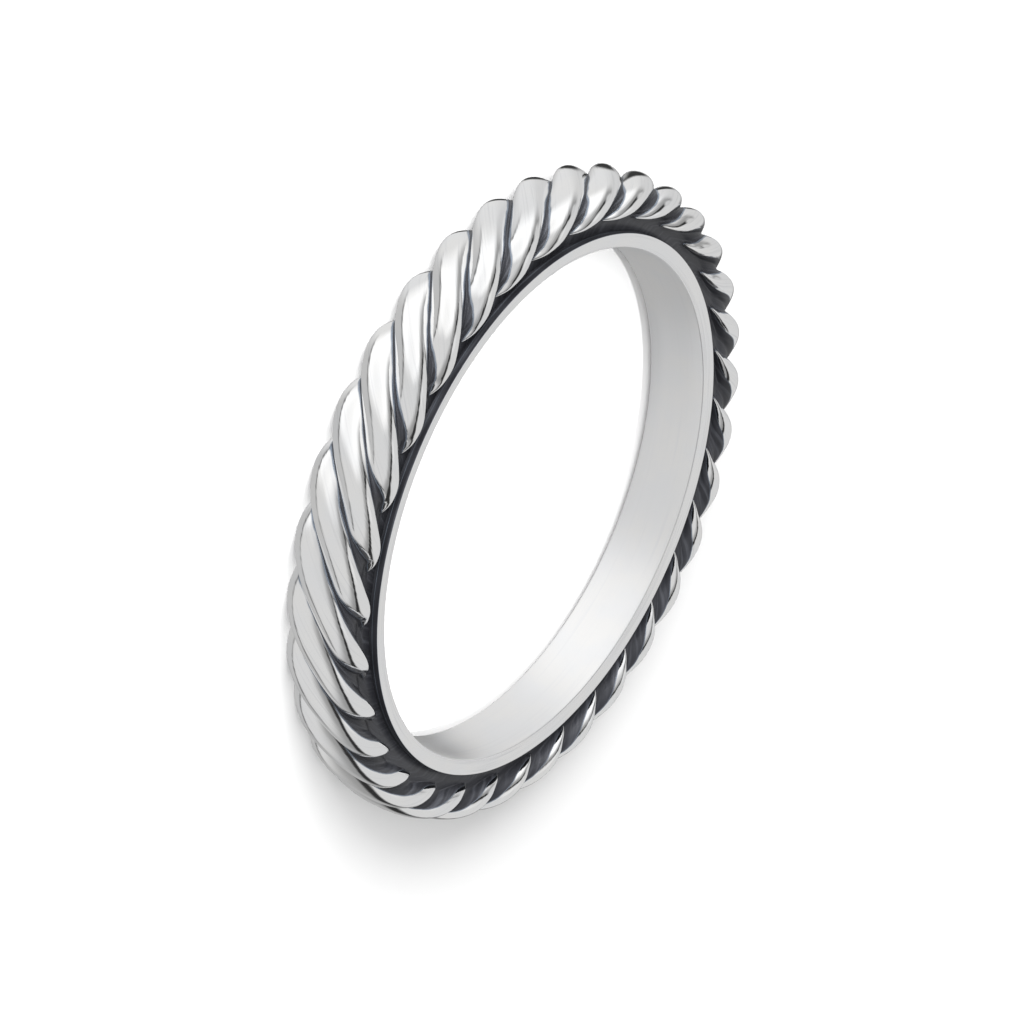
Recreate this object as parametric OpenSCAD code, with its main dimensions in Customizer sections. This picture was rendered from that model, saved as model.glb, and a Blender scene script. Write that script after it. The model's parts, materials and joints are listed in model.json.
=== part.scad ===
/* [Finger hole] */
// Diameter of the finger hole, a middling ring size
bore_d = 17.3; // [14:0.1:22]
// Radial reach of the small bevel at each edge of the hole
bore_bevel = 0.06; // [0.02:0.01:0.15]

/* [Inner band] */
// Wall of the plain inner band
band_wall = 0.5; // [0.4:0.05:0.8]
// Width of the inner band from rim to rim, at its outer edge
band_w = 2.3; // [2:0.05:2.5]
// How much lower each rim lies at the hole than at its outer edge
rim_dip = 0.08; // [0:0.01:0.15]
// Small bevel round the outer edge of each rim
rim_bevel = 0.03; // [0.01:0.01:0.08]

/* [Channel] */
// Depth of the blackened channel below the rim
channel_d = 0.3; // [0.15:0.05:0.45]

/* [Rope] */
// Height of the strand crests above the inner band
rope_rise = 1.8; // [1.6:0.05:2.2]
// Width of the rope, the widest part of the ring
rope_w = 2.8; // [2.7:0.05:3.6]
// Distance from the crest in to where the rope is widest
shoulder = 0.92; // [0.75:0.01:1.05]
// Distance from the widest place in to the foot of the rope's flank
flank_run = 0.71; // [0.5:0.01:0.8]
// Fullness of the shoulder, where 2 is an ellipse and more is squarer
fullness = 2.42; // [2:0.02:3]

/* [Strands] */
// Number of strands round the ring
strand_n = 32; // [20:1:36]
// How far a strand runs round the ring from tip to tip, in strand widths
strand_lead = 3; // [2:0.1:3.6]
// Share of the strand's width that rises, the rest being the bottom of the groove
strand_share = 0.97; // [0.9:0.01:0.98]
// Depth of the groove between two strands
groove_d = 0.37; // [0.2:0.01:0.45]
// Roundness of a strand, where 2 is a parabola and more is boxier
strand_round = 2.1; // [1.8:0.1:3]

/* [Tips] */
// Depth of the recess between two tips
recess_d = 0.53; // [0.46:0.01:0.6]
// Share of the way from the middle to the foot of the flank where a strand starts to narrow
taper_at = 0.33; // [0.2:0.01:0.6]
// How late the narrowing sets in, where 1 is even and more is later
taper_late = 1.4; // [1:0.1:2.4]
// Width of a tip where its rounded nose starts, as a share of the strand
tip_share = 0.4; // [0.3:0.01:0.7]
// Share of the way to the foot where the nose starts
nose_at = 0.84; // [0.78:0.01:0.88]
// Share of the way to the foot where the nose ends
nose_end = 0.94; // [0.92:0.01:0.97]
// Share of the way to the foot where a strand starts to sweep
sweep_at = 0.73; // [0.5:0.01:0.85]
// Extra turn of the tip along the ring, in strand widths
tip_sweep = 0.26; // [0:0.01:0.4]

/* [Hidden] */

bore_r = bore_d / 2;
band_r = bore_r + band_wall;
rim_z = band_w / 2;
floor_z = rim_z - channel_d;
crest_r = band_r + rope_rise;
rope_z = rope_w / 2;
wide_r = crest_r - shoulder;
centre_r = wide_r - flank_run / 3;
root_r = (bore_r + band_r) / 2;
pitch = 360 / strand_n;

// Steps of the smooth section, from the crest to the widest place and on down the flank
shoulder_steps = 24;
flank_steps = 12;
// Stops at which a strand is cut: up to the widest place, and angles round the nose
shoulder_stops = 7;
nose_angles = [0, 35, 65, 90];
// Places across a strand, from its left edge to its right edge
across = [-1, -0.75, -0.4, 0, 0.4, 0.75, 1];
// Narrowest a strand gets, past its nose, where it is flat in the floor
end_share = 0.1;

function power(base, exponent) = base <= 0 ? 0 : pow(base, exponent);
function ease(from, to, share) = min(1, max(0, (share - from) / (to - from)));

// Outline of the strand crests, from the crest out over the shoulder and down the flank
function shoulder_point(a) =
    [wide_r + shoulder * power(cos(a), 2 / fullness), rope_z * power(sin(a), 2 / fullness)];
function flank_point(a) = [wide_r - flank_run * sin(a), rope_z * cos(a)];
flank_end = acos(floor_z / rope_z);
outline = concat(
    [for (i = [0:shoulder_steps]) shoulder_point(90 * i / shoulder_steps)],
    [for (i = [1:flank_steps]) flank_point(flank_end * i / flank_steps)]);
outline_last = len(outline) - 1;
run = [for (i = 0, s = 0; i <= outline_last;
        i = i + 1, s = i > outline_last ? s : s + norm(outline[i] - outline[i - 1])) s];
half_run = run[outline_last];
run_to_r = [for (i = [0:outline_last]) [run[i], outline[i][0]]];
run_to_z = [for (i = [0:outline_last]) [run[i], outline[i][1]]];

wide_share = run[shoulder_steps] / half_run;

// Shape of a strand at a share of the way from the middle, 0, to the foot of the flank, 1
function taper(share) = ease(taper_at, nose_end, share);
function nose(share) = sqrt(1 - pow(ease(nose_at, nose_end, share), 2));
function half_width(share) = strand_share / 2
    * max(end_share, nose(share) * (1 - (1 - tip_share) * power(taper(share), taper_late)));
function advance(share) = strand_lead / 2 * share + tip_sweep * pow(ease(sweep_at, 1, share), 2);

// Depth of the recess beside a strand, which on the flank ends at the floor of the channel
function edge_depth(share, crest) =
    let (depth = groove_d + (recess_d - groove_d) * taper(share),
        to_floor = (crest[1] - floor_z) * norm([centre_r, 0] - crest) / max(crest[1], floor_z))
    share > wide_share ? max(0, min(depth, to_floor)) : depth;

// Point on strand k, across from -1 to 1 and along from -1 to 1
function strand_point(k, x, along) =
    let (share = abs(along), side = along < 0 ? -1 : 1,
        crest = [lookup(share * half_run, run_to_r), lookup(share * half_run, run_to_z)],
        inward = ([centre_r, 0] - crest) / norm([centre_r, 0] - crest),
        rise = (1 - power(abs(x), strand_round)) * nose(share),
        sunk = crest + inward * edge_depth(share, crest) * (1 - rise),
        a = pitch * (k + x * half_width(share) + side * advance(share)))
    [sunk[0] * cos(a), sunk[0] * sin(a), side * sunk[1]];

// Point of the hidden foot, inside the wall of the inner band
function root_point(k, x, side) =
    let (a = pitch * (k + x * half_width(1) + side * advance(1)))
    [root_r * cos(a), root_r * sin(a), side * floor_z];

stops = concat(
    [for (i = [1:shoulder_stops]) wide_share * i / shoulder_stops],
    [(wide_share + nose_at) / 2],
    [for (turn = nose_angles) nose_at + (nose_end - nose_at) * sin(turn)],
    [1]);
stop_n = len(stops);
places = concat([for (i = [1:stop_n]) -stops[stop_n - i]], [0], stops);

// Closed ring of points over one line along a strand, from root to root
function strand_line(k, x) = concat(
    [root_point(k, x, -1)],
    [for (p = places) strand_point(k, x, p)],
    [root_point(k, x, 1)]);

module inner_band()
    color("silver")
        rotate_extrude($fn = 180)
            polygon([
                [bore_r, rim_dip + bore_bevel - rim_z],
                [bore_r + bore_bevel, rim_dip - rim_z],
                [band_r - rim_bevel, -rim_z],
                [band_r, rim_bevel - rim_z],
                [band_r, rim_z - rim_bevel],
                [band_r - rim_bevel, rim_z],
                [bore_r + bore_bevel, rim_z - rim_dip],
                [bore_r, rim_z - rim_dip - bore_bevel]]);

module rope() {
    lines = [for (k = [0:strand_n - 1]) for (x = across) strand_line(k, x)];
    line_n = len(lines);
    point_n = len(lines[0]);
    // Lines that a strand crosses on its way, so that the hidden wall runs straight across
    shift = round(len(across) * 2 * advance(1));
    points = [for (line = lines) for (point = line) point];
    skin = [for (i = [0:line_n - 1]) for (j = [0:point_n - 2])
        let (a = i * point_n + j, b = (i + 1) % line_n * point_n + j)
        for (face = [[a, a + 1, b + 1], [a, b + 1, b]]) face];
    hidden_wall = [for (i = [0:line_n - 1])
        let (a = (i + 1) * point_n - 1, b = ((i + 1) % line_n + 1) * point_n - 1,
            c = (i + shift) % line_n * point_n, d = (i + 1 + shift) % line_n * point_n)
        for (face = [[a, c, d], [a, d, b]]) face];
    color("gainsboro")
        polyhedron(points, concat(skin, hidden_wall));
}

module twist_ring()
    translate([0, 0, rope_z]) {
        inner_band();
        rope();
    }

twist_ring();
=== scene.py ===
"""A silver rope twist ring: a plain inner band under a rope of slanted, tapering strands."""
from __future__ import annotations

import json
import logging
import math
from dataclasses import dataclass
from enum import Enum
from typing import Union

import bpy
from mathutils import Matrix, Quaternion, Vector

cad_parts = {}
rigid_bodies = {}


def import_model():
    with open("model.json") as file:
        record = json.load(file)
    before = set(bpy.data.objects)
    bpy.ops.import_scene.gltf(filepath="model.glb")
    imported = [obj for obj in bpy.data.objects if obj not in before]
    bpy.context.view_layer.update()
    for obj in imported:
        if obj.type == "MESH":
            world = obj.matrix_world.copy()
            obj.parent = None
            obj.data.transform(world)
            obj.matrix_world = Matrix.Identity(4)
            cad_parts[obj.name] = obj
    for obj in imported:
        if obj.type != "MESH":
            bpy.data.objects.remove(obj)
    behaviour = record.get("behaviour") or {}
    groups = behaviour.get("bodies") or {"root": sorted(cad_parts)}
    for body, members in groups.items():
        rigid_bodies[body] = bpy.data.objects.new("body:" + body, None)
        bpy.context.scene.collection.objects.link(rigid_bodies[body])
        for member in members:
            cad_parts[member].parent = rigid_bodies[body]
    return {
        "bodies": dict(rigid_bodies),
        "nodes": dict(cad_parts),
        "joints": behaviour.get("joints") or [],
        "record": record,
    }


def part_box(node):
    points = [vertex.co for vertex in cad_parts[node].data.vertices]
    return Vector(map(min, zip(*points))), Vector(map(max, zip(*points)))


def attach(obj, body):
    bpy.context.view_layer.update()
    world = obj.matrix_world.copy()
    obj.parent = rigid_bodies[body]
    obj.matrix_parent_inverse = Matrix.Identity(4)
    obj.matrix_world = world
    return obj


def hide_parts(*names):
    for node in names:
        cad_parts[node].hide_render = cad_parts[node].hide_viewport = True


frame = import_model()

LOG = logging.getLogger("twist_ring")
MM = 0.001
NODE = "twist_ring"
BODY = "root"
# turns in degrees
QUARTER_TURN = 90
FULL_TURN = 360
# what a noise texture gives on average
NOISE_MIDDLE = 0.5
# how far a point lies in a recess: 0 on a crest, about 1 in a groove and more between the tips,
# with a lower value in a stripe on the channel's wall that paints a highlight
RECESS = "recess"
# place across the direction in which the silver was polished, in millimetres
LAY = "lay"
Number = Union[float, int, "Term"]
Colour = tuple[float, float, float]
WHITE: Colour = (1.0, 1.0, 1.0)


# Node formulas
@dataclass(frozen=True)
class Term:
    """A number in a node tree, which Python's operators combine into Math nodes."""

    tree: bpy.types.NodeTree
    socket: bpy.types.NodeSocket

    def math(self, operation: str, *others: Number) -> Term:
        """Adds one Math node.

        Args:
            operation: Name of the Math node's operation.
            others: The operation's other numbers, fixed or worked out by the tree.

        Returns:
            The node's result.
        """
        node = self.tree.nodes.new("ShaderNodeMath")
        node.operation = operation
        for slot, value in zip(node.inputs, (self, *others)):
            plug(self.tree, value, slot)
        return Term(self.tree, node.outputs[0])

    def __add__(self, other: Number) -> Term:
        """Sum."""
        return self.math("ADD", other)

    def __sub__(self, other: Number) -> Term:
        """Difference."""
        return self.math("SUBTRACT", other)

    def __mul__(self, other: Number) -> Term:
        """Product."""
        return self.math("MULTIPLY", other)

    def __truediv__(self, other: Number) -> Term:
        """Quotient."""
        return self.math("DIVIDE", other)

    def __pow__(self, other: Number) -> Term:
        """Power, with a negative base taken as nought."""
        return self.math("MAXIMUM", 0).math("POWER", other)

    def __abs__(self) -> Term:
        """Size without sign."""
        return self.math("ABSOLUTE")

    def less_from(self, whole: Number) -> Term:
        """The whole less this number."""
        return (self * -1) + whole

    def above(self, limit: Number) -> Term:
        """1 where this number is above the limit, and 0 elsewhere."""
        return self.math("GREATER_THAN", limit)

    def at_least(self, limit: Number) -> Term:
        """The larger of this number and the limit."""
        return self.math("MAXIMUM", limit)

    def at_most(self, limit: Number) -> Term:
        """The smaller of this number and the limit."""
        return self.math("MINIMUM", limit)

    def ease(self, start: Number, end: Number) -> Term:
        """Rises from 0 at start to 1 at end, rounded at both.

        Args:
            start: Number at which the rise starts.
            end: Number at which it is complete, which may be the lower one.

        Returns:
            How much of the rise is done.
        """
        node = self.tree.nodes.new("ShaderNodeMapRange")
        node.interpolation_type = "SMOOTHSTEP"
        for name, value in (("Value", self), ("From Min", start), ("From Max", end)):
            plug(self.tree, value, node.inputs[name])
        return Term(self.tree, node.outputs["Result"])

    def ramp(self, start: Term, end: Number) -> Term:
        """Rises in a straight line from 0 at start to 1 at end."""
        return ((self - start) / start.less_from(end)).at_least(0).at_most(1)

    def mix(self, low: Number, high: Number) -> Term:
        """Goes from one number to another as this one goes from 0 to 1.

        Args:
            low: The number where this one is 0.
            high: The number where it is 1.

        Returns:
            The mixed number.
        """
        node = self.tree.nodes.new("ShaderNodeMix")
        for name, value in (("Factor", self), ("A", low), ("B", high)):
            plug(self.tree, value, node.inputs[name])
        return Term(self.tree, node.outputs["Result"])


def plug(tree: bpy.types.NodeTree, value: Number, slot: bpy.types.NodeSocket) -> None:
    """Links a worked-out number to a socket, or sets a fixed one on it.

    Args:
        tree: Tree that holds the socket.
        value: The number.
        slot: The socket it goes to.
    """
    if isinstance(value, Term):
        tree.links.new(value.socket, slot)
    else:
        slot.default_value = value


def degrees_sine(angle: Term) -> Term:
    """Sine of an angle in degrees."""
    return angle.math("RADIANS").math("SINE")


def degrees_cosine(angle: Term) -> Term:
    """Cosine of an angle in degrees."""
    return angle.math("RADIANS").math("COSINE")


# Sizes
@dataclass(frozen=True)
class RingSizes:
    """Sizes that the band and the rope share, in millimetres."""

    bore_r: float
    crest_r: float
    rope_z: float
    band_wall: float = 0.5
    band_w: float = 2.3
    channel_d: float = 0.3

    @classmethod
    def from_frame(cls, packed: dict) -> RingSizes:
        """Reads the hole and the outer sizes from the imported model.


        Returns:
            The ring's sizes.
        """
        low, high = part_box(NODE)
        hole = next(m for m in packed["record"]["mounts"] if m["name"] == "finger_hole")
        return cls(bore_r=hole["dims"]["r_mm"], crest_r=high.x / MM,
                   rope_z=(high.z - low.z) / 2 / MM)

    @property
    def band_r(self) -> float:
        """Outer radius of the inner band."""
        return self.bore_r + self.band_wall

    @property
    def root_r(self) -> float:
        """Radius of the hidden wall in the middle of the band, where the rope closes."""
        return self.bore_r + self.band_wall / 2

    @property
    def rim_z(self) -> float:
        """Height of the rim's outer edge above the middle plane."""
        return self.band_w / 2

    @property
    def floor_z(self) -> float:
        """Height of the channel's floor above the middle plane."""
        return self.rim_z - self.channel_d


# Finishes
def blend(tree: bpy.types.NodeTree, share: Term, low: bpy.types.NodeSocket,
          high: bpy.types.NodeSocket) -> bpy.types.NodeSocket:
    """Mixes two colours.

    Args:
        tree: Tree that gets the node.
        share: 0 for the first colour, 1 for the second.
        low: The first colour.
        high: The second colour.

    Returns:
        The mixed colour.
    """
    node = tree.nodes.new("ShaderNodeMix")
    node.data_type = "RGBA"
    colours = [s for s in node.inputs if s.type == "RGBA"]
    tree.links.new(share.socket, node.inputs["Factor"])
    tree.links.new(low, colours[0])
    tree.links.new(high, colours[1])
    return next(s for s in node.outputs if s.type == "RGBA")


def new_group(name: str, takes: tuple[tuple[str, Union[float, Colour]], ...],
              gives: tuple[tuple[str, str], ...]) -> bpy.types.NodeTree:
    """Starts a shader node group.

    Args:
        name: Name of the group.
        takes: Inputs with their first values, where three numbers are a colour.
        gives: Outputs with their kinds of socket.

    Returns:
        The group, with its input and output nodes.
    """
    tree = bpy.data.node_groups.new(name, "ShaderNodeTree")
    for label, value in takes:
        plain = isinstance(value, float)
        kind = "NodeSocketFloat" if plain else "NodeSocketColor"
        slot = tree.interface.new_socket(label, in_out="INPUT", socket_type=kind)
        slot.default_value = value if plain else (*value, 1.0)
    for label, kind in gives:
        tree.interface.new_socket(label, in_out="OUTPUT", socket_type=kind)
    tree.nodes.new("NodeGroupInput")
    tree.nodes.new("NodeGroupOutput")
    return tree


def set_input(node: bpy.types.Node, label: str, value: Union[float, Colour]) -> None:
    """Sets a number or a colour on a node's input."""
    node.inputs[label].default_value = value if isinstance(value, float) else (*value, 1.0)


class Polish(Enum):
    """How finely a silver surface is polished, as the roughness of its reflection."""

    MIRROR = 0.07
    FINE = 0.13
    SATIN = 0.36


@dataclass(frozen=True)
class PolishMarks:
    """Node group for the faint lines that polishing leaves along the silver."""

    name: str = "polish_marks"
    # lines per millimetre across the lay, and features per metre along it and in the tone
    fineness: float = 9.0
    drift: float = 250.0
    patch_size: float = 700.0
    line_detail: float = 4.0
    tone_detail: float = 2.0

    def group(self) -> bpy.types.NodeTree:
        """Builds the group once.

        Returns:
            A group that gives noise drawn out along the lay, and a slow change of tone.
        """
        if self.name in bpy.data.node_groups:
            return bpy.data.node_groups[self.name]
        tree = new_group(
            self.name,
            (("Lay", 0.0), ("Fineness", self.fineness), ("Drift", self.drift),
             ("Patch Size", self.patch_size)),
            (("Marks", "NodeSocketFloat"), ("Tone", "NodeSocketFloat")))
        inside, outside = tree.nodes["Group Input"], tree.nodes["Group Output"]
        place = tree.nodes.new("ShaderNodeTexCoord")
        drift = tree.nodes.new("ShaderNodeVectorMath")
        drift.operation = "SCALE"
        tree.links.new(place.outputs["Object"], drift.inputs[0])
        tree.links.new(inside.outputs["Drift"], drift.inputs["Scale"])
        lines = tree.nodes.new("ShaderNodeTexNoise")
        lines.noise_dimensions = "4D"
        lines.inputs["Scale"].default_value = 1.0
        lines.inputs["Detail"].default_value = self.line_detail
        tree.links.new(drift.outputs["Vector"], lines.inputs["Vector"])
        across = Term(tree, inside.outputs["Lay"]) * Term(tree, inside.outputs["Fineness"])
        tree.links.new(across.socket, lines.inputs["W"])
        tree.links.new(lines.outputs["Fac"], outside.inputs["Marks"])
        tone = tree.nodes.new("ShaderNodeTexNoise")
        tone.inputs["Detail"].default_value = self.tone_detail
        tree.links.new(place.outputs["Object"], tone.inputs["Vector"])
        tree.links.new(inside.outputs["Patch Size"], tone.inputs["Scale"])
        tree.links.new(tone.outputs["Fac"], outside.inputs["Tone"])
        return tree


@dataclass(frozen=True)
class Blackening:
    """Node group for silver that is blackened where the polishing wheel can't reach."""

    name: str = "blackened_recess"
    wander: float = 0.2
    black_roughness: float = 0.4
    black_metallic: float = 0.3
    # shares of the blackening where the silver is fully tarnished, and where the black sets in
    tarnished_at: float = 0.5
    black_from: float = 0.3
    # strength of the polishing marks where they start to wear the black, and where it is fully worn
    worn_from: float = 0.45
    worn_at: float = 0.75

    def group(self) -> bpy.types.NodeTree:
        """Builds the group once.

        Returns:
            A group that turns a recess into a colour, a roughness and a share of metal.
        """
        if self.name in bpy.data.node_groups:
            return bpy.data.node_groups[self.name]
        tree = new_group(
            self.name,
            (("Recess", 0.0), ("Marks", NOISE_MIDDLE), ("Tone", NOISE_MIDDLE),
             ("Start", 0.0), ("End", 1.0), ("Wander", self.wander), ("Patchiness", 0.0),
             ("Silver", WHITE), ("Tarnish", WHITE), ("Black", WHITE), ("Worn Black", WHITE),
             ("Silver Roughness", 0.0), ("Black Roughness", self.black_roughness),
             ("Black Metallic", self.black_metallic)),
            (("Color", "NodeSocketColor"), ("Roughness", "NodeSocketFloat"),
             ("Metallic", "NodeSocketFloat")))
        inside, outside = tree.nodes["Group Input"], tree.nodes["Group Output"]
        given = {s.name: Term(tree, s) for s in inside.outputs if s.name}
        wander = (given["Marks"] - NOISE_MIDDLE) * given["Wander"]
        patches = (given["Tone"] - NOISE_MIDDLE) * given["Patchiness"]
        mask = (given["Recess"] + (wander + patches)).ease(given["Start"], given["End"])
        thin, deep = mask.ease(0.0, self.tarnished_at), mask.ease(self.black_from, 1.0)
        worn = given["Marks"].ease(self.worn_from, self.worn_at)
        black = blend(tree, worn, given["Black"].socket, given["Worn Black"].socket)
        silver = blend(tree, thin, given["Silver"].socket, given["Tarnish"].socket)
        tree.links.new(blend(tree, deep, silver, black), outside.inputs["Color"])
        rough = mask.mix(given["Silver Roughness"], given["Black Roughness"])
        tree.links.new(rough.socket, outside.inputs["Roughness"])
        tree.links.new(deep.mix(1.0, given["Black Metallic"]).socket, outside.inputs["Metallic"])
        return tree


@dataclass(frozen=True)
class Silver:
    """Polished silver with faint polishing lines, blackened in its recesses."""

    name: str
    polish: Polish
    warm: Colour = (0.945, 0.942, 0.935)
    cool: Colour = (0.925, 0.93, 0.937)
    dull: Colour = (0.83, 0.835, 0.845)
    tarnish: Colour = (0.25, 0.29, 0.35)
    black: Colour = (0.016, 0.0165, 0.0195)
    worn_black: Colour = (0.045, 0.047, 0.054)
    # recess at which the blackening starts and is full, and how much it varies from place to place
    start: float = 0.72
    end: float = 0.98
    patchiness: float = 0.6
    # tone below which the silver is warm and above which it is cool
    warm_below: float = 0.35
    cool_above: float = 0.65
    # strength of the polishing marks where they start to look dull, and where they are fully dull
    dull_from: float = 0.5
    dull_at: float = 0.25
    # depth of the marks in millimetres, and how much they change the roughness
    line_depth: float = 0.004
    line_roughness: float = 0.08
    least_roughness: float = 0.02

    def build(self) -> bpy.types.Material:
        """Makes the material.

        Returns:
            A material that reads the recess and lay attributes of its piece.
        """
        material = bpy.data.materials.new(self.name)
        material.use_nodes = True
        tree = material.node_tree
        shader = tree.nodes["Principled BSDF"]
        lay, recess = tree.nodes.new("ShaderNodeAttribute"), tree.nodes.new("ShaderNodeAttribute")
        lay.attribute_name, recess.attribute_name = LAY, RECESS
        lines = tree.nodes.new("ShaderNodeGroup")
        lines.node_tree = PolishMarks().group()
        tree.links.new(lay.outputs["Fac"], lines.inputs["Lay"])
        marks, tone = Term(tree, lines.outputs["Marks"]), Term(tree, lines.outputs["Tone"])

        patina = tree.nodes.new("ShaderNodeGroup")
        patina.node_tree = Blackening().group()
        tree.links.new(recess.outputs["Fac"], patina.inputs["Recess"])
        tree.links.new(marks.socket, patina.inputs["Marks"])
        tree.links.new(tone.socket, patina.inputs["Tone"])
        for label, value in (("Start", self.start), ("End", self.end),
                             ("Patchiness", self.patchiness), ("Tarnish", self.tarnish),
                             ("Black", self.black), ("Worn Black", self.worn_black)):
            set_input(patina, label, value)
        warm, cool, dull = (tree.nodes.new("ShaderNodeRGB").outputs[0] for _ in range(3))
        for swatch, colour in ((warm, self.warm), (cool, self.cool), (dull, self.dull)):
            swatch.default_value = (*colour, 1.0)
        bright = blend(tree, tone.ease(self.warm_below, self.cool_above), warm, cool)
        silver = blend(tree, marks.ease(self.dull_from, self.dull_at), bright, dull)
        tree.links.new(silver, patina.inputs["Silver"])
        rough = (marks - NOISE_MIDDLE) * self.line_roughness + self.polish.value
        plug(tree, rough.at_least(self.least_roughness), patina.inputs["Silver Roughness"])

        relief = tree.nodes.new("ShaderNodeBump")
        relief.inputs["Distance"].default_value = self.line_depth * MM
        tree.links.new(marks.socket, relief.inputs["Height"])
        tree.links.new(relief.outputs["Normal"], shader.inputs["Normal"])
        tree.links.new(patina.outputs["Color"], shader.inputs["Base Color"])
        tree.links.new(patina.outputs["Roughness"], shader.inputs["Roughness"])
        tree.links.new(patina.outputs["Metallic"], shader.inputs["Metallic"])
        return material


# The ring
@dataclass
class InnerBand:
    """The plain band that the finger touches, with a bright rim on each side."""

    sizes: RingSizes
    rim_dip: float = 0.08
    bore_round: float = 0.06
    rim_round: float = 0.03
    # height over the middle plane up to which the hole's wall is shaded as straight
    bore_row: float = 0.4
    segments: int = 360
    arc_steps: int = 6
    # bend in degrees from which an edge is shaded as sharp
    sharp_angle: float = 30.0
    # painted highlight along the channel's wall, a less blackened stripe that stands for the light
    # an edge would catch: its place and width as shares of the wall, and its recess
    highlight_line_at: float = 0.62
    highlight_line_width: float = 0.16
    highlight_line_recess: float = 0.5

    def profile(self) -> list[tuple[float, float, float]]:
        """Works out half the section, from the middle of the hole to the hidden outer wall.

        Returns:
            Points as radius, height over the middle plane and recess.
        """
        s = self.sizes
        hole_top, wall_top = s.rim_z - self.rim_dip, s.rim_z - self.rim_round
        turns = [math.pi / 2 * i / self.arc_steps for i in range(self.arc_steps + 1)]
        points = [(s.bore_r, 0.0, 0.0), (s.bore_r, self.bore_row, 0.0)]
        for turn in turns:
            points.append((s.bore_r + self.bore_round * (1 - math.cos(turn)),
                           hole_top - self.bore_round * (1 - math.sin(turn)), 0.0))
        for i, turn in enumerate(turns):
            points.append((s.band_r - self.rim_round * (1 - math.sin(turn)),
                           s.rim_z - self.rim_round * (1 - math.cos(turn)), i / self.arc_steps))
        wall = wall_top - s.floor_z
        # a thin stripe of lower recess on the channel's wall paints the highlight of an edge
        for step, dark in ((-1, 1.0), (0, self.highlight_line_recess), (1, 1.0)):
            drop = wall * (self.highlight_line_at + step * self.highlight_line_width)
            points.append((s.band_r, wall_top - drop, dark))
        points += [(s.band_r, s.floor_z, 1.0), (s.band_r, 0.0, 1.0)]
        return points

    def build(self, bore_finish: bpy.types.Material,
              rim_finish: bpy.types.Material) -> bpy.types.Object:
        """Turns the section round the ring's axis.

        Args:
            bore_finish: Material of the hole's wall.
            rim_finish: Material of the rims and of the channel's wall.

        Returns:
            The band.
        """
        half = self.profile()
        section = half + [(r, -z, dark) for r, z, dark in reversed(half[1:-1])]
        count = len(section)
        run = [0.0]
        for here, there in zip(section, section[1:]):
            run.append(run[-1] + math.dist(here[:2], there[:2]))
        points, shade, lay = [], [], []
        for i in range(self.segments):
            turn = math.tau * i / self.segments
            for (r, z, dark), way in zip(section, run):
                height = z + self.sizes.rope_z
                points.append((r * math.cos(turn) * MM, r * math.sin(turn) * MM, height * MM))
                shade.append(dark)
                lay.append(way)
        # the rounded edge of the hole has the hole's finish, and all beyond it the rim's
        bore_end = self.sizes.bore_r + self.bore_round
        faces, finishes = [], []
        for i in range(self.segments):
            near, far = i * count, (i + 1) % self.segments * count
            for j in range(count):
                k = (j + 1) % count
                faces.append((near + j, near + k, far + k, far + j))
                finishes.append(int(max(section[j][0], section[k][0]) >= bore_end))
        mesh = bpy.data.meshes.new("inner_band")
        mesh.from_pydata(points, [], faces)
        mesh.attributes.new(RECESS, "FLOAT", "POINT").data.foreach_set("value", shade)
        mesh.attributes.new(LAY, "FLOAT", "POINT").data.foreach_set("value", lay)
        for finish in (bore_finish, rim_finish):
            mesh.materials.append(finish)
        mesh.polygons.foreach_set("material_index", finishes)
        mesh.shade_smooth()
        mesh.set_sharp_from_angle(angle=math.radians(self.sharp_angle))
        band = bpy.data.objects.new("inner_band", mesh)
        bpy.context.scene.collection.objects.link(band)
        return band


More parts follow.
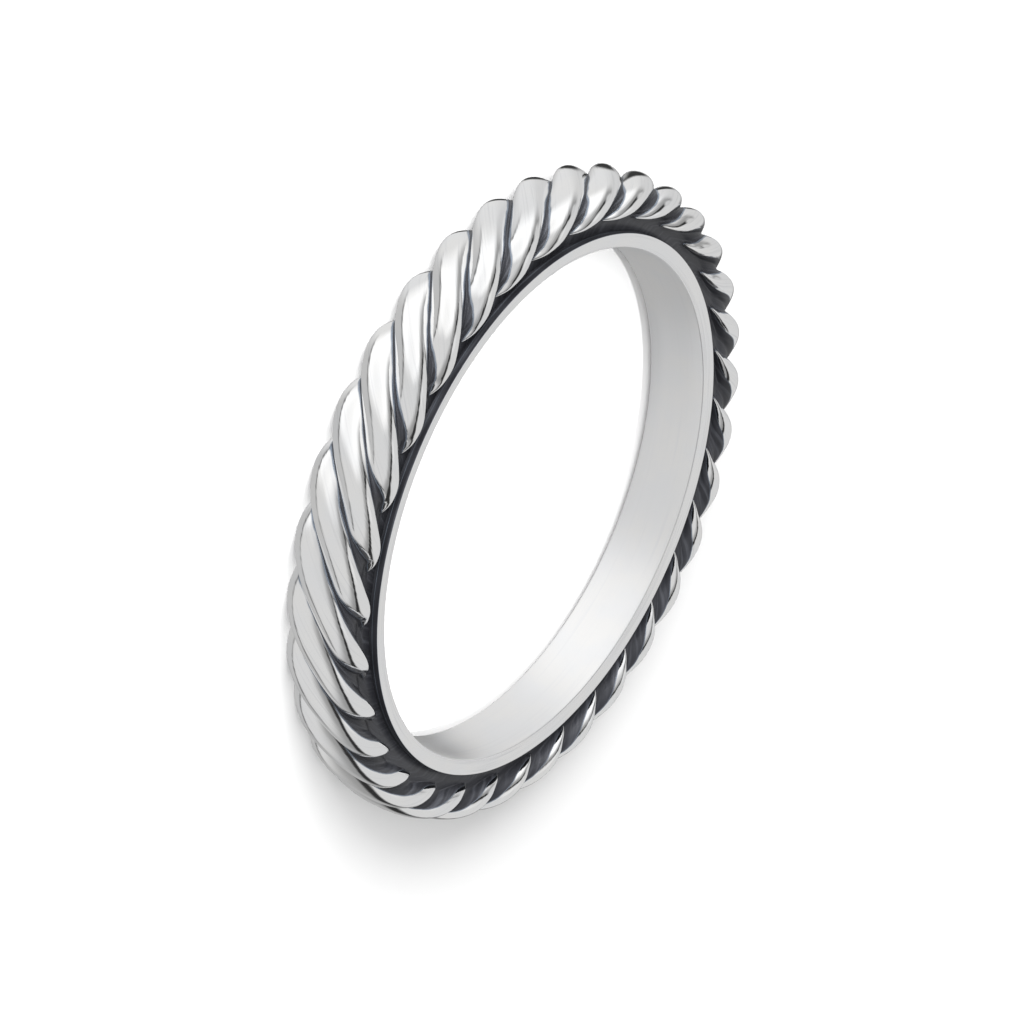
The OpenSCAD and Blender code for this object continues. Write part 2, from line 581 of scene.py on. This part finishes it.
@dataclass
class Rope:
    """The rope of slanted strands round the band, made by one node tree."""

    sizes: RingSizes
    # the same shape as the solid's, in millimetres and in shares of a strand's width and way
    strand_n: int = 32
    shoulder: float = 0.92
    flank_run: float = 0.71
    fullness: float = 2.42
    strand_lead: float = 3.0
    strand_share: float = 0.97
    groove_d: float = 0.37
    strand_round: float = 2.1
    recess_d: float = 0.53
    taper_at: float = 0.33
    taper_late: float = 1.4
    tip_share: float = 0.4
    nose_at: float = 0.84
    nose_end: float = 0.94
    end_share: float = 0.1
    sweep_at: float = 0.73
    tip_sweep: float = 0.26
    # the grid of one strand, and the share of its columns that lie on the strand itself
    columns: int = 36
    body_rows: int = 24
    nose_rows: int = 10
    end_rows: int = 5
    body_share: float = 0.8
    # points of the crests' section, and the share of them that lie on the shoulder
    outline_n: int = 400
    shoulder_part: float = 0.62
    # distance in millimetres at which the points of two strands become one
    weld: float = 0.0005
    # least height in millimetres that the way to the channel's floor is divided by
    least_height: float = 0.1
    # how strongly a slope counts as recess on the crest and on the tip's two sides, where the
    # wheel reaches less, and the share of the strand's way at which the change sets in
    crest_recess: float = 0.95
    tip_recess: float = 1.35
    under_recess: float = 2.8
    darkens_at: float = 0.2
    # recess of the hidden foot
    foot_recess: float = 2.0

    @property
    def stations(self) -> int:
        """Rows of points from the middle of a strand to the foot of its tip."""
        return self.body_rows + self.nose_rows + self.end_rows

    def _numbers(self) -> dict[str, float]:
        """Collects the numbers that the tree works with.

        Returns:
            The names of the tree's inputs, with their values.
        """
        s = self.sizes
        return {
            "Crest Radius": s.crest_r, "Half Width": s.rope_z, "Floor Height": s.floor_z,
            "Root Radius": s.root_r, "Shoulder": self.shoulder, "Flank Run": self.flank_run,
            "Fullness": self.fullness, "Strands": float(self.strand_n), "Lead": self.strand_lead,
            "Strand Share": self.strand_share, "Groove Depth": self.groove_d,
            "Strand Roundness": self.strand_round, "Recess Depth": self.recess_d,
            "Taper At": self.taper_at, "Taper Late": self.taper_late, "Tip Share": self.tip_share,
            "Nose At": self.nose_at, "Nose End": self.nose_end, "End Share": self.end_share,
            "Sweep At": self.sweep_at, "Tip Sweep": self.tip_sweep,
            "Crest Recess": self.crest_recess, "Tip Recess": self.tip_recess,
            "Under Recess": self.under_recess, "Darkens At": self.darkens_at,
        }

    def _outline(self, tree: bpy.types.NodeTree, given: dict[str, Term]) -> bpy.types.NodeSocket:
        """Draws the section of the crests as a curve, from the crest to the foot of the flank.

        Args:
            tree: The rope's tree.
            given: Its inputs.

        Returns:
            The curve, with X as radius and Z as height in millimetres.
        """
        line = tree.nodes.new("GeometryNodeCurvePrimitiveLine")
        fine = tree.nodes.new("GeometryNodeResampleCurve")
        fine.inputs["Count"].default_value = self.outline_n
        tree.links.new(line.outputs["Curve"], fine.inputs["Curve"])
        along = tree.nodes.new("GeometryNodeSplineParameter")
        t = Term(tree, along.outputs["Factor"])
        wide_r = given["Crest Radius"] - given["Shoulder"]
        power = (given["Fullness"] / 2).math("POWER", -1)
        turn = (t / self.shoulder_part).at_most(1) * QUARTER_TURN
        shoulder_r = wide_r + given["Shoulder"] * degrees_cosine(turn) ** power
        shoulder_z = given["Half Width"] * degrees_sine(turn) ** power
        foot = (given["Floor Height"] / given["Half Width"]).math("ARCCOSINE").math("DEGREES")
        fall = (t - self.shoulder_part).at_least(0) / (1 - self.shoulder_part) * foot
        flank_r = wide_r - given["Flank Run"] * degrees_sine(fall)
        flank_z = given["Half Width"] * degrees_cosine(fall)
        on_flank = t.above(self.shoulder_part)
        point = tree.nodes.new("ShaderNodeCombineXYZ")
        plug(tree, on_flank.mix(shoulder_r, flank_r), point.inputs["X"])
        plug(tree, on_flank.mix(shoulder_z, flank_z), point.inputs["Z"])
        place = tree.nodes.new("GeometryNodeSetPosition")
        tree.links.new(fine.outputs["Curve"], place.inputs["Geometry"])
        tree.links.new(point.outputs["Vector"], place.inputs["Position"])
        return place.outputs["Geometry"]

    def _crest(self, tree: bpy.types.NodeTree, outline: bpy.types.NodeSocket,
               share: Term) -> tuple[Term, Term]:
        """Finds the crest at a share of the way from the middle of a strand to its foot.

        Args:
            tree: The rope's tree.
            outline: Section of the crests.
            share: The share of the way.

        Returns:
            Radius and height over the middle plane.
        """
        sample = tree.nodes.new("GeometryNodeSampleCurve")
        sample.mode = "FACTOR"
        tree.links.new(outline, sample.inputs["Curves"])
        tree.links.new(share.socket, sample.inputs["Factor"])
        crest = tree.nodes.new("ShaderNodeSeparateXYZ")
        tree.links.new(sample.outputs["Position"], crest.inputs[0])
        return Term(tree, crest.outputs["X"]), Term(tree, crest.outputs["Z"])

    def _strand(self, tree: bpy.types.NodeTree, given: dict[str, Term],
                outline: bpy.types.NodeSocket) -> bpy.types.NodeSocket:
        """Shapes one strand out of a flat grid, with X across the strand and Y along it.

        Args:
            tree: The rope's tree.
            given: Its inputs.
            outline: Section of the crests.

        Returns:
            The strand, with its recess and lay marked on its points.
        """
        # the middle row and both sides, a hidden foot at each end, and a last row that closes
        # the hidden wall on the lower foot of a strand farther on
        rows = 2 * self.stations + 4
        grid = tree.nodes.new("GeometryNodeMeshGrid")
        grid.inputs["Size X"].default_value = 2
        grid.inputs["Size Y"].default_value = rows - 1
        grid.inputs["Vertices X"].default_value = self.columns + 1
        grid.inputs["Vertices Y"].default_value = rows
        split = tree.nodes.new("ShaderNodeSeparateXYZ")
        tree.links.new(tree.nodes.new("GeometryNodeInputPosition").outputs[0], split.inputs[0])
        across = Term(tree, split.outputs["X"])
        # rows from the middle one, which lies half a row off the middle of the grid: past the
        # last station comes the foot, and past the upper foot the row that closes
        row_along = Term(tree, split.outputs["Y"]) + ((rows - 1) / 2 - self.stations - 1)
        foot = abs(row_along).above(self.stations + 0.5)
        closing = row_along.above(self.stations + 1.5)
        side = row_along.math("SIGN")
        row = abs(row_along).at_most(self.stations)
        nose_turn = ((row - self.body_rows) / self.nose_rows).at_least(0).at_most(1) * QUARTER_TURN
        nose = degrees_cosine(nose_turn).at_least(0)
        end = (row - self.body_rows - self.nose_rows).at_least(0) / self.end_rows
        share = (row.at_most(self.body_rows) / self.body_rows * given["Nose At"]
                 + degrees_sine(nose_turn) * (given["Nose End"] - given["Nose At"])
                 + end * given["Nose End"].less_from(1))

        taper = share.ramp(given["Taper At"], given["Nose End"])
        narrow = (taper ** given["Taper Late"] * given["Tip Share"].less_from(1)).less_from(1)
        half = given["Strand Share"] / 2 * (narrow * nose).at_least(given["End Share"])
        sweep = share.ramp(given["Sweep At"], 1) ** 2
        advance = given["Lead"] / 2 * share + given["Tip Sweep"] * sweep
        # place across the strand from edge to edge, and beyond it to the middle of the groove
        x = (across / self.body_share).at_most(1).at_least(-1)
        beyond = (abs(across) - self.body_share).at_least(0) / (1 - self.body_share)
        u = x * half + across.math("SIGN") * beyond * half.less_from(0.5)
        rise = (abs(x) ** given["Strand Roundness"]).less_from(1) * nose

        crest_r, crest_z = self._crest(tree, outline, share)
        wide_r = given["Crest Radius"] - given["Shoulder"]
        centre_r = wide_r - given["Flank Run"] / 3
        reach_r, reach_z = centre_r - crest_r, crest_z * -1
        reach = ((reach_r * reach_r) + (reach_z * reach_z)) ** 0.5
        edge = given["Groove Depth"] + (given["Recess Depth"] - given["Groove Depth"]) * taper
        # on the flank the recess goes no deeper than the floor of the channel
        above_floor = crest_z - given["Floor Height"]
        to_floor = (above_floor * reach / crest_z.at_least(self.least_height)).at_least(0)
        edge = crest_r.less_from(wide_r).above(0).mix(edge, edge.at_most(to_floor))
        depth = edge * rise.less_from(1)
        sunk_r = crest_r + reach_r / reach * depth
        sunk_z = crest_z + reach_z / reach * depth

        # the feet lie whole strands round the ring, so that the last row meets a foot
        turns = u + side * foot.mix(advance, advance.math("CEIL"))
        angle = turns / given["Strands"] * FULL_TURN
        radius = foot.mix(sunk_r, given["Root Radius"])
        height = foot.mix(side * sunk_z, side * given["Floor Height"])
        height = closing.mix(height, given["Floor Height"] * -1) + given["Half Width"]
        tip_counts = (across * side).above(0).mix(given["Under Recess"], given["Tip Recess"])
        on_tip = share.ease(given["Darkens At"], given["Nose At"])
        slope = rise.less_from(1) * on_tip.mix(given["Crest Recess"], tip_counts)
        recess = foot.mix(slope + beyond, self.foot_recess)
        lay = u * (given["Crest Radius"] / given["Strands"] * math.tau)

        point = tree.nodes.new("ShaderNodeCombineXYZ")
        plug(tree, radius * degrees_cosine(angle) * MM, point.inputs["X"])
        plug(tree, radius * degrees_sine(angle) * MM, point.inputs["Y"])
        plug(tree, height * MM, point.inputs["Z"])
        # both marks are kept before the points move, because they are worked out from the flat grid
        marked = grid.outputs["Mesh"]
        for name, value in ((RECESS, recess), (LAY, lay)):
            mark = tree.nodes.new("GeometryNodeStoreNamedAttribute")
            mark.data_type, mark.domain = "FLOAT", "POINT"
            mark.inputs["Name"].default_value = name
            plug(tree, value, mark.inputs["Value"])
            tree.links.new(marked, mark.inputs["Geometry"])
            marked = mark.outputs["Geometry"]
        shape = tree.nodes.new("GeometryNodeSetPosition")
        tree.links.new(marked, shape.inputs["Geometry"])
        tree.links.new(point.outputs["Vector"], shape.inputs["Position"])
        return shape.outputs["Geometry"]

    def _repeat(self, tree: bpy.types.NodeTree, given: dict[str, Term],
                strand: bpy.types.NodeSocket) -> bpy.types.NodeSocket:
        """Repeats the strand round the ring and welds the copies into one smooth surface.

        Args:
            tree: The rope's tree.
            given: Its inputs.
            strand: The strand.

        Returns:
            The rope.
        """
        spots = tree.nodes.new("GeometryNodePoints")
        plug(tree, given["Strands"], spots.inputs["Count"])
        number = Term(tree, tree.nodes.new("GeometryNodeInputIndex").outputs[0])
        spin = tree.nodes.new("ShaderNodeCombineXYZ")
        plug(tree, number / given["Strands"] * math.tau, spin.inputs["Z"])
        copies = tree.nodes.new("GeometryNodeInstanceOnPoints")
        tree.links.new(spots.outputs[0], copies.inputs["Points"])
        tree.links.new(strand, copies.inputs["Instance"])
        tree.links.new(spin.outputs["Vector"], copies.inputs["Rotation"])
        real = tree.nodes.new("GeometryNodeRealizeInstances")
        tree.links.new(copies.outputs[0], real.inputs[0])
        weld = tree.nodes.new("GeometryNodeMergeByDistance")
        weld.inputs["Distance"].default_value = self.weld * MM
        tree.links.new(real.outputs[0], weld.inputs["Geometry"])
        smooth = tree.nodes.new("GeometryNodeSetShadeSmooth")
        tree.links.new(weld.outputs[0], smooth.inputs[0])
        return smooth.outputs[0]

    def tree(self) -> bpy.types.NodeTree:
        """Builds the tree: one strand, repeated round the ring and given its material.

        Returns:
            A Geometry Nodes tree whose inputs are the rope's sizes and its material.
        """
        tree = bpy.data.node_groups.new("rope_strands", "GeometryNodeTree")
        tree.interface.new_socket("Geometry", in_out="INPUT", socket_type="NodeSocketGeometry")
        for label in self._numbers():
            tree.interface.new_socket(label, in_out="INPUT", socket_type="NodeSocketFloat")
        tree.interface.new_socket("Material", in_out="INPUT", socket_type="NodeSocketMaterial")
        tree.interface.new_socket("Geometry", in_out="OUTPUT", socket_type="NodeSocketGeometry")
        entry, leave = tree.nodes.new("NodeGroupInput"), tree.nodes.new("NodeGroupOutput")
        given = {s.name: Term(tree, s) for s in entry.outputs if s.name in self._numbers()}
        strand = self._strand(tree, given, self._outline(tree, given))
        dress = tree.nodes.new("GeometryNodeSetMaterial")
        tree.links.new(self._repeat(tree, given, strand), dress.inputs["Geometry"])
        tree.links.new(entry.outputs["Material"], dress.inputs["Material"])
        tree.links.new(dress.outputs[0], leave.inputs["Geometry"])
        return tree

    def build(self, finish: bpy.types.Material) -> bpy.types.Object:
        """Runs the tree and keeps its result as a plain mesh.

        Args:
            finish: The rope's material.

        Returns:
            The rope.
        """
        holder = bpy.data.objects.new("rope_holder", bpy.data.meshes.new("rope_holder"))
        bpy.context.scene.collection.objects.link(holder)
        nodes = holder.modifiers.new("strands", "NODES")
        nodes.node_group = self.tree()
        values = {**self._numbers(), "Material": finish}
        for item in nodes.node_group.interface.items_tree:
            if item.in_out == "INPUT" and item.name in values:
                nodes[item.identifier] = values[item.name]
        holder.update_tag()
        depsgraph = bpy.context.evaluated_depsgraph_get()
        mesh = bpy.data.meshes.new_from_object(holder.evaluated_get(depsgraph))
        bpy.data.objects.remove(holder)
        mesh.name = "rope"
        rope = bpy.data.objects.new("rope", mesh)
        bpy.context.scene.collection.objects.link(rope)
        return rope


# The studio
def direction(azimuth: float, elevation: float) -> Vector:
    """Points the way of an azimuth and an elevation.

    Args:
        azimuth: Degrees round the ring's axis, from +X.
        elevation: Degrees above the floor.

    Returns:
        A vector of length 1.
    """
    a, e = math.radians(azimuth), math.radians(elevation)
    return Vector((math.cos(a) * math.cos(e), math.sin(a) * math.cos(e), math.sin(e)))


@dataclass(frozen=True)
class Camera:
    """The camera, placed round the ring at the photograph's angle to it."""

    azimuth: float = -85.046
    elevation: float = 28.968
    roll: float = 112.799
    distance: float = 116.4
    aim: tuple[float, float, float] = (0.643, -0.034, 1.238)
    lens: float = 127.97
    sensor_width: float = 36.0
    # nearest and farthest distance that it sees, in metres
    clip: tuple[float, float] = (0.001, 5.0)

    def build(self) -> bpy.types.Object:
        """Places the camera.

        Returns:
            The camera.
        """
        data = bpy.data.cameras.new("camera")
        data.lens, data.sensor_width = self.lens, self.sensor_width
        data.clip_start, data.clip_end = self.clip
        camera = bpy.data.objects.new("camera", data)
        bpy.context.scene.collection.objects.link(camera)
        back = direction(self.azimuth, self.elevation)
        rolled = Quaternion((0, 0, 1), math.radians(self.roll))
        camera.rotation_mode = "QUATERNION"
        camera.location = (Vector(self.aim) + back * self.distance) * MM
        camera.rotation_quaternion = back.to_track_quat("Z", "Y") @ rolled
        bpy.context.scene.camera = camera
        return camera


@dataclass(frozen=True)
class Glow:
    """A round patch of the studio's surroundings, as bright or dark as the silver shows it."""

    name: str
    azimuth: float
    elevation: float
    radius: float
    soft: float
    level: float

    def paint(self, tree: bpy.types.NodeTree, way: bpy.types.NodeSocket, under: Number) -> Term:
        """Lays the patch over what is there.

        Args:
            tree: The world's tree.
            way: Direction that is looked in.
            under: Brightness so far.

        Returns:
            Brightness with the patch.
        """
        dot = tree.nodes.new("ShaderNodeVectorMath")
        dot.operation = "DOT_PRODUCT"
        dot.inputs[1].default_value = direction(self.azimuth, self.elevation)
        tree.links.new(way, dot.inputs[0])
        off = Term(tree, dot.outputs["Value"]).at_most(1).math("ARCCOSINE").math("DEGREES")
        return off.ease(self.radius + self.soft, self.radius - self.soft).mix(under, self.level)


@dataclass(frozen=True)
class Key:
    """A wide lamp whose shadow shows on the floor."""

    name: str
    azimuth: float
    elevation: float
    power: float
    distance: float = 1200.0
    size: float = 900.0

    def build(self) -> bpy.types.Object:
        """Hangs the lamp.

        Returns:
            The lamp.
        """
        data = bpy.data.lights.new(self.name, "AREA")
        data.shape, data.size, data.energy = "DISK", self.size * MM, self.power
        lamp = bpy.data.objects.new(self.name, data)
        bpy.context.scene.collection.objects.link(lamp)
        lamp.visible_glossy = False
        back = direction(self.azimuth, self.elevation)
        lamp.location = back * self.distance * MM
        lamp.rotation_euler = back.to_track_quat("Z", "Y").to_euler()
        return lamp


@dataclass(frozen=True)
class Studio:
    """A plain pale floor and soft light all round."""

    sizes: RingSizes
    base: float = 0.68
    glows: tuple[Glow, ...] = (
        Glow("overhead", 218.8, -14.3, 50, 14, 1.12),
        Glow("overhead_strip", 248.7, -7.6, 22, 14, 1.0),
        Glow("left_gap", 59.3, -76.9, 51, 4, 0.17),
        Glow("left_card", 59.3, -76.9, 44, 4, 0.54),
        Glow("side_fade", 90.7, 47.4, 86, 12, 0.33),
        Glow("side_gap", 90.7, 47.4, 69, 3, 0.03),
        Glow("side_card", 90.7, 47.4, 55, 4, 0.68),
        Glow("upper_back", 161.2, -36.5, 34, 14, 0.78),
        Glow("upper_side", 130.1, 0.6, 30, 14, 0.66),
        Glow("upper_fill", 162.2, 27.8, 12, 5, 0.62),
        Glow("front", 305.5, -7.6, 38, 12, 0.7),
        Glow("low_back", 56.0, -29.1, 22, 14, 0.45),
        Glow("right", 192.6, 75.2, 14, 8, 0.8),
        Glow("back_flag", 121.5, -33.5, 9, 3, 0.04),
    )
    keys: tuple[Key, ...] = (
        Key("key", 238.0, 19.0, 44.0),
        Key("side_key", 276.0, 21.0, 30.0),
    )
    floor_size: float = 6000.0
    floor_colour: float = 0.6
    # the lamp over the hole: its height and size in millimetres, its power and its soft edge
    hole_height: float = 300.0
    hole_size: float = 2.0
    hole_power: float = 4.0
    hole_blend: float = 0.05

    def _world(self) -> None:
        """Paints the surroundings."""
        world = bpy.data.worlds.new("studio")
        bpy.context.scene.world = world
        world.use_nodes = True
        tree = world.node_tree
        way = tree.nodes.new("ShaderNodeTexCoord").outputs["Generated"]
        level: Number = self.base
        for glow in self.glows:
            level = glow.paint(tree, way, level)
        shader = tree.nodes["Background"]
        set_input(shader, "Color", WHITE)
        plug(tree, level, shader.inputs["Strength"])

    def _floor(self) -> None:
        """Lays the floor."""
        half = self.floor_size / 2 * MM
        mesh = bpy.data.meshes.new("floor")
        corners = [(-half, -half, 0), (half, -half, 0), (half, half, 0), (-half, half, 0)]
        mesh.from_pydata(corners, [], [(0, 1, 2, 3)])
        floor = bpy.data.objects.new("floor", mesh)
        bpy.context.scene.collection.objects.link(floor)
        floor.visible_glossy = False
        paint = bpy.data.materials.new("floor")
        paint.use_nodes = True
        shader = paint.node_tree.nodes["Principled BSDF"]
        set_input(shader, "Base Color", (self.floor_colour,) * 3)
        set_input(shader, "Roughness", 1.0)
        set_input(shader, "Specular IOR Level", 0.0)
        mesh.materials.append(paint)

    def _hole_light(self) -> None:
        """Hangs a narrow lamp over the hole, which keeps the floor in it as pale as outside."""
        data = bpy.data.lights.new("hole_light", "SPOT")
        data.energy, data.shadow_soft_size = self.hole_power, self.hole_size * MM
        data.spot_size = 2 * math.atan2(self.sizes.band_r, self.hole_height)
        data.spot_blend = self.hole_blend
        lamp = bpy.data.objects.new("hole_light", data)
        bpy.context.scene.collection.objects.link(lamp)
        lamp.visible_glossy = False
        lamp.location = (0, 0, self.hole_height * MM)

    def build(self) -> None:
        """Makes the floor, the light and the view settings."""
        self._floor()
        self._world()
        for key in self.keys:
            key.build()
        self._hole_light()
        bpy.context.scene.view_settings.view_transform = "Standard"


def main() -> None:
    """Builds the ring and the studio."""
    logging.basicConfig(level=logging.INFO, format="%(name)s: %(message)s")
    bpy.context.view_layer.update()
    sizes = RingSizes.from_frame(frame)
    Camera().build()
    Studio(sizes).build()
    rope = Rope(sizes).build(Silver("silver_rope", Polish.MIRROR).build())
    bore = Silver("silver_bore", Polish.SATIN, start=0.3, end=0.7, patchiness=0.1,
                  dull=(0.9, 0.903, 0.91), line_depth=0.0015)
    bore_finish = bore.build()
    rim_finish = Silver("silver_rim", Polish.FINE, start=0.3, end=0.7, patchiness=0.1).build()
    band = InnerBand(sizes).build(bore_finish, rim_finish)
    for piece in (rope, band):
        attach(piece, BODY)
        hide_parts(NODE)
        LOG.info("%s: %d faces", piece.name, len(piece.data.polygons))


if __name__ == "__main__":
    main()
